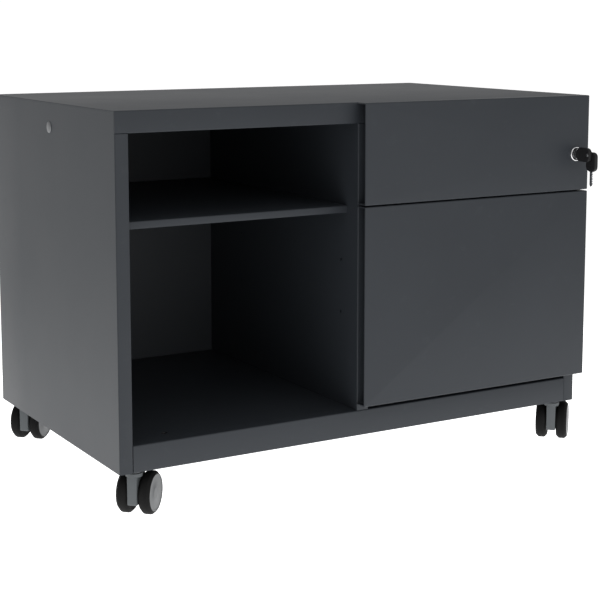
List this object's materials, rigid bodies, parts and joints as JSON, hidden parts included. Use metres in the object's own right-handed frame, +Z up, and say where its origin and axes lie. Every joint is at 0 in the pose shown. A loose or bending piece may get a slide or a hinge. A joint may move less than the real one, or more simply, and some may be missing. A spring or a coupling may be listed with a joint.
{
  "type": "rolling pedestal cabinet",
  "caption": "Low steel cabinet on castors with an open shelved bay beside a personal drawer over a filing drawer, finger-grip fronts, a cam lock and its keys.",
  "frame": {"origin": "on the floor, in the middle of the overall box with the castors as they stand turned", "axes": "+X along the width to the right as seen from the front, -Y out of the front, +Z up"},
  "size_m": [0.823, 0.5618, 0.565],
  "materials": {
    "slate_paint": "satin slate grey powder coat",
    "slate_paint_inside": "satin slate grey powder coat",
    "zinc": "zinc plated",
    "chrome": "bright nickel plating",
    "black_plastic": "moulded, slightly glossy",
    "grey_plastic": "moulded satin",
    "tread_rubber": "matt"
  },
  "bodies": {
    "carcass": {"left_side_panel": "slate_paint", "right_side_panel": "slate_paint", "top_panel": "slate_paint", "base_panel": "slate_paint", "partition_panel": "slate_paint", "back_panel": "slate_paint_inside", "shelf": "slate_paint", "castor_channel_left": "slate_paint_inside", "castor_channel_right": "slate_paint_inside", "side_plug_left": "zinc", "side_plug_right": "zinc", "shelf_peg_left_front": "zinc", "shelf_peg_left_rear": "zinc", "shelf_peg_right_front": "zinc", "shelf_peg_right_rear": "zinc", "upper_slide_outer_left": "zinc", "upper_slide_outer_right": "zinc", "lower_slide_outer_left": "zinc", "lower_slide_outer_right": "zinc", "castor_stem_front_left": "zinc", "castor_stem_front_right": "zinc", "castor_stem_rear_left": "zinc", "castor_stem_rear_right": "zinc"},
    "lock_bar": {"lock_bar": "zinc"},
    "upper_drawer": {"upper_drawer_front": "slate_paint", "upper_drawer_box": "slate_paint_inside", "upper_slide_inner_left": "zinc", "upper_slide_inner_right": "zinc", "lock_housing": "chrome", "lock_nut": "zinc"},
    "upper_slide_middles": {"upper_slide_middle_left": "zinc", "upper_slide_middle_right": "zinc"},
    "lower_drawer": {"lower_drawer_front": "slate_paint", "lower_drawer_box": "slate_paint_inside", "lower_slide_inner_left": "zinc", "lower_slide_inner_right": "zinc"},
    "lower_slide_middles": {"lower_slide_middle_left": "zinc", "lower_slide_middle_right": "zinc"},
    "key": {"lock_plug": "chrome", "lock_cam": "zinc", "key_blade": "chrome", "key_bow": "black_plastic"},
    "spare_key": {"spare_key_bow": "black_plastic", "spare_key_blade": "chrome"},
    "castor_swivel_front_left": {"castor_fork_front_left": "grey_plastic", "castor_axle_front_left": "zinc"},
    "castor_wheel_front_left_left": {"castor_wheel_front_left_left": "tread_rubber"},
    "castor_wheel_front_left_right": {"castor_wheel_front_left_right": "tread_rubber"},
    "castor_swivel_front_right": {"castor_fork_front_right": "grey_plastic", "castor_axle_front_right": "zinc"},
    "castor_wheel_front_right_left": {"castor_wheel_front_right_left": "tread_rubber"},
    "castor_wheel_front_right_right": {"castor_wheel_front_right_right": "tread_rubber"},
    "castor_swivel_rear_left": {"castor_fork_rear_left": "grey_plastic", "castor_axle_rear_left": "zinc"},
    "castor_wheel_rear_left_left": {"castor_wheel_rear_left_left": "tread_rubber"},
    "castor_wheel_rear_left_right": {"castor_wheel_rear_left_right": "tread_rubber"},
    "castor_swivel_rear_right": {"castor_fork_rear_right": "grey_plastic", "castor_axle_rear_right": "zinc"},
    "castor_wheel_rear_right_left": {"castor_wheel_rear_right_left": "tread_rubber"},
    "castor_wheel_rear_right_right": {"castor_wheel_rear_right_right": "tread_rubber"}
  },
  "joints": [
    {"name": "upper_drawer_slide", "type": "slide", "parent": "carcass", "child": "upper_drawer", "axis": [0, -1, 0], "range_m": [0, 0.38]},
    {"name": "upper_middle_slide", "type": "slide", "parent": "carcass", "child": "upper_slide_middles", "axis": [0, -1, 0], "range_m": [0, 0.19]},
    {"name": "lower_drawer_slide", "type": "slide", "parent": "carcass", "child": "lower_drawer", "axis": [0, -1, 0], "range_m": [0, 0.4]},
    {"name": "lower_middle_slide", "type": "slide", "parent": "carcass", "child": "lower_slide_middles", "axis": [0, -1, 0], "range_m": [0, 0.2]},
    {"name": "key_turn", "type": "hinge", "parent": "upper_drawer", "child": "key", "pos_m": [0.36464, -0.23971, 0.4735], "axis": [0, -1, 0], "range_deg": [0, 90]},
    {"name": "lock_bar_lift", "type": "slide", "parent": "carcass", "child": "lock_bar", "axis": [0, 0, 1], "range_m": [0, 0.008]},
    {"name": "spare_key_swing", "type": "hinge", "parent": "key", "child": "spare_key", "pos_m": [0.37164, -0.26991, 0.4735], "axis": [1, 0, 0], "range_deg": [-150, 30]},
    {"name": "castor_swivel_front_left", "type": "hinge", "parent": "carcass", "child": "castor_swivel_front_left", "pos_m": [-0.38036, -0.19891, 0.034], "axis": [0, 0, 1], "continuous": true},
    {"name": "wheel_spin_front_left_left", "type": "hinge", "parent": "castor_swivel_front_left", "child": "castor_wheel_front_left_left", "pos_m": [-0.37848, -0.17391, 0.0305], "axis": [0.7071, -0.7071, 0], "continuous": true},
    {"name": "wheel_spin_front_left_right", "type": "hinge", "parent": "castor_swivel_front_left", "child": "castor_wheel_front_left_right", "pos_m": [-0.35536, -0.19703, 0.0305], "axis": [0.7071, -0.7071, 0], "continuous": true},
    {"name": "castor_swivel_front_right", "type": "hinge", "parent": "carcass", "child": "castor_swivel_front_right", "pos_m": [0.36164, -0.19891, 0.034], "axis": [0, 0, 1], "continuous": true},
    {"name": "wheel_spin_front_right_left", "type": "hinge", "parent": "castor_swivel_front_right", "child": "castor_wheel_front_right_left", "pos_m": [0.36352, -0.17391, 0.0305], "axis": [0.7071, -0.7071, 0], "continuous": true},
    {"name": "wheel_spin_front_right_right", "type": "hinge", "parent": "castor_swivel_front_right", "child": "castor_wheel_front_right_right", "pos_m": [0.38664, -0.19703, 0.0305], "axis": [0.7071, -0.7071, 0], "continuous": true},
    {"name": "castor_swivel_rear_left", "type": "hinge", "parent": "carcass", "child": "castor_swivel_rear_left", "pos_m": [-0.38036, 0.23109, 0.034], "axis": [0, 0, 1], "continuous": true},
    {"name": "wheel_spin_rear_left_left", "type": "hinge", "parent": "castor_swivel_rear_left", "child": "castor_wheel_rear_left_left", "pos_m": [-0.37848, 0.25609, 0.0305], "axis": [0.7071, -0.7071, 0], "continuous": true},
    {"name": "wheel_spin_rear_left_right", "type": "hinge", "parent": "castor_swivel_rear_left", "child": "castor_wheel_rear_left_right", "pos_m": [-0.35536, 0.23297, 0.0305], "axis": [0.7071, -0.7071, 0], "continuous": true},
    {"name": "castor_swivel_rear_right", "type": "hinge", "parent": "carcass", "child": "castor_swivel_rear_right", "pos_m": [0.36164, 0.23109, 0.034], "axis": [0, 0, 1], "continuous": true},
    {"name": "wheel_spin_rear_right_left", "type": "hinge", "parent": "castor_swivel_rear_right", "child": "castor_wheel_rear_right_left", "pos_m": [0.36352, 0.25609, 0.0305], "axis": [0.7071, -0.7071, 0], "continuous": true},
    {"name": "wheel_spin_rear_right_right", "type": "hinge", "parent": "castor_swivel_rear_right", "child": "castor_wheel_rear_right_right", "pos_m": [0.38664, 0.23297, 0.0305], "axis": [0.7071, -0.7071, 0], "continuous": true}
  ],
  "couplings": [
    {"joint": "upper_middle_slide", "follows": "upper_drawer_slide", "ratio": 0.5},
    {"joint": "lower_middle_slide", "follows": "lower_drawer_slide", "ratio": 0.5},
    {"joint": "lock_bar_lift", "follows": "key_turn", "m_per_rad": 0.00509}
  ]
}
